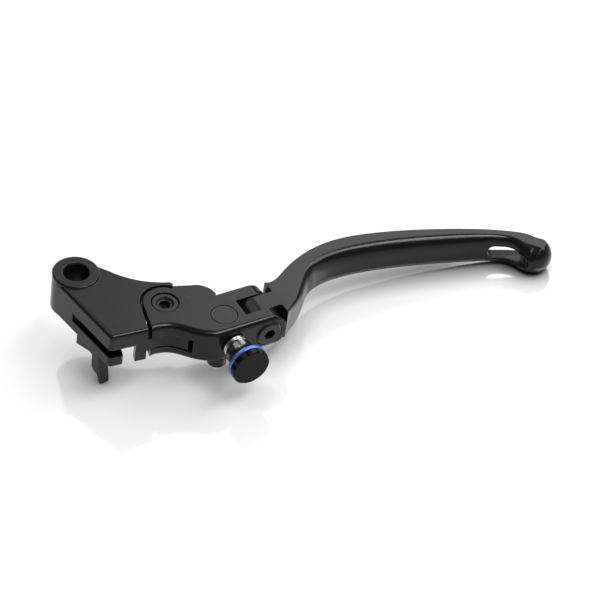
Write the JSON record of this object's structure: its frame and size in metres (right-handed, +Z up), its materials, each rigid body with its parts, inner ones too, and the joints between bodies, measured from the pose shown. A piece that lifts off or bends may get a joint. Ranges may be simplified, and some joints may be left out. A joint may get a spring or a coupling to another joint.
{
  "type": "motorcycle clutch lever",
  "caption": "Folding motorcycle clutch lever: a perch adapter with pivot bore and cable seat, a reach-adjustable link with a knob, and a curved blade with a pierced tip.",
  "frame": {"origin": "middle of the pivot bore, half way up the lever", "axes": "+Z up the pivot bore, +X from the pivot towards the blade's tip, +Y towards the handlebar grip"},
  "size_m": [0.1884, 0.0623, 0.0297],
  "materials": {
    "satin_black_anodised": "machined and satin black anodised",
    "polished_black_anodised": "turned, polished and black anodised",
    "blue_anodised": "turned and blue anodised",
    "matt_black_plate": "matt black",
    "black_steel": "black oxide",
    "bright_steel": "bright",
    "bronze": "plain sintered bronze"
  },
  "bodies": {
    "adapter": {"adapter_body": "satin_black_anodised", "reach_bush": "bronze", "switch_actuator": "matt_black_plate", "switch_actuator_screws": "black_steel", "reach_return_spring": "bright_steel"},
    "link": {"link_body": "satin_black_anodised", "reach_pivot_post": "black_steel", "reach_pivot_screw": "black_steel", "reach_washer_upper": "bronze", "reach_washer_lower": "bronze", "adjuster_dowel": "black_steel", "adjuster_click_ball": "bright_steel", "adjuster_click_spring": "bright_steel", "adjuster_bush": "black_steel", "adjuster_spring": "bright_steel", "bush_lock_screw": "black_steel", "fold_pivot_bolt": "black_steel", "fold_pivot_nut": "black_steel", "fold_washer_front": "bronze", "fold_washer_rear": "bronze"},
    "adjuster": {"adjuster_shaft": "bright_steel", "adjuster_sleeve": "polished_black_anodised", "knob_grub_screw": "black_steel", "adjuster_ring": "blue_anodised", "adjuster_knob": "polished_black_anodised"},
    "plunger": {"adjuster_plunger": "bright_steel"},
    "blade": {"blade": "satin_black_anodised", "fold_bush": "bronze", "fold_detent_ball": "bright_steel", "fold_detent_spring": "bright_steel"}
  },
  "joints": [
    {"name": "reach_pivot", "type": "hinge", "parent": "adapter", "child": "link", "pos_m": [0.0287, -0.0179, 0], "axis": [0, 0, 1], "range_deg": [-4, 4], "deforming": ["reach_return_spring"]},
    {"name": "adjuster_turn", "type": "hinge", "parent": "link", "child": "adjuster", "pos_m": [0.0483, -0.0262, 0], "axis": [0.2924, -0.9563, 0], "range_deg": [-206, 206]},
    {"name": "plunger_slide", "type": "slide", "parent": "link", "child": "plunger", "axis": [-0.2924, 0.9563, 0], "range_m": [-0.00115, 0.00115]},
    {"name": "blade_fold", "type": "hinge", "parent": "link", "child": "blade", "pos_m": [0.06165, -0.02115, 0], "axis": [0.2924, -0.9563, 0], "range_deg": [0, 90]}
  ],
  "couplings": [
    {"joint": "adjuster_turn", "follows": "reach_pivot", "ratio": -51.27},
    {"joint": "plunger_slide", "follows": "reach_pivot", "m_per_rad": -0.01632}
  ]
}
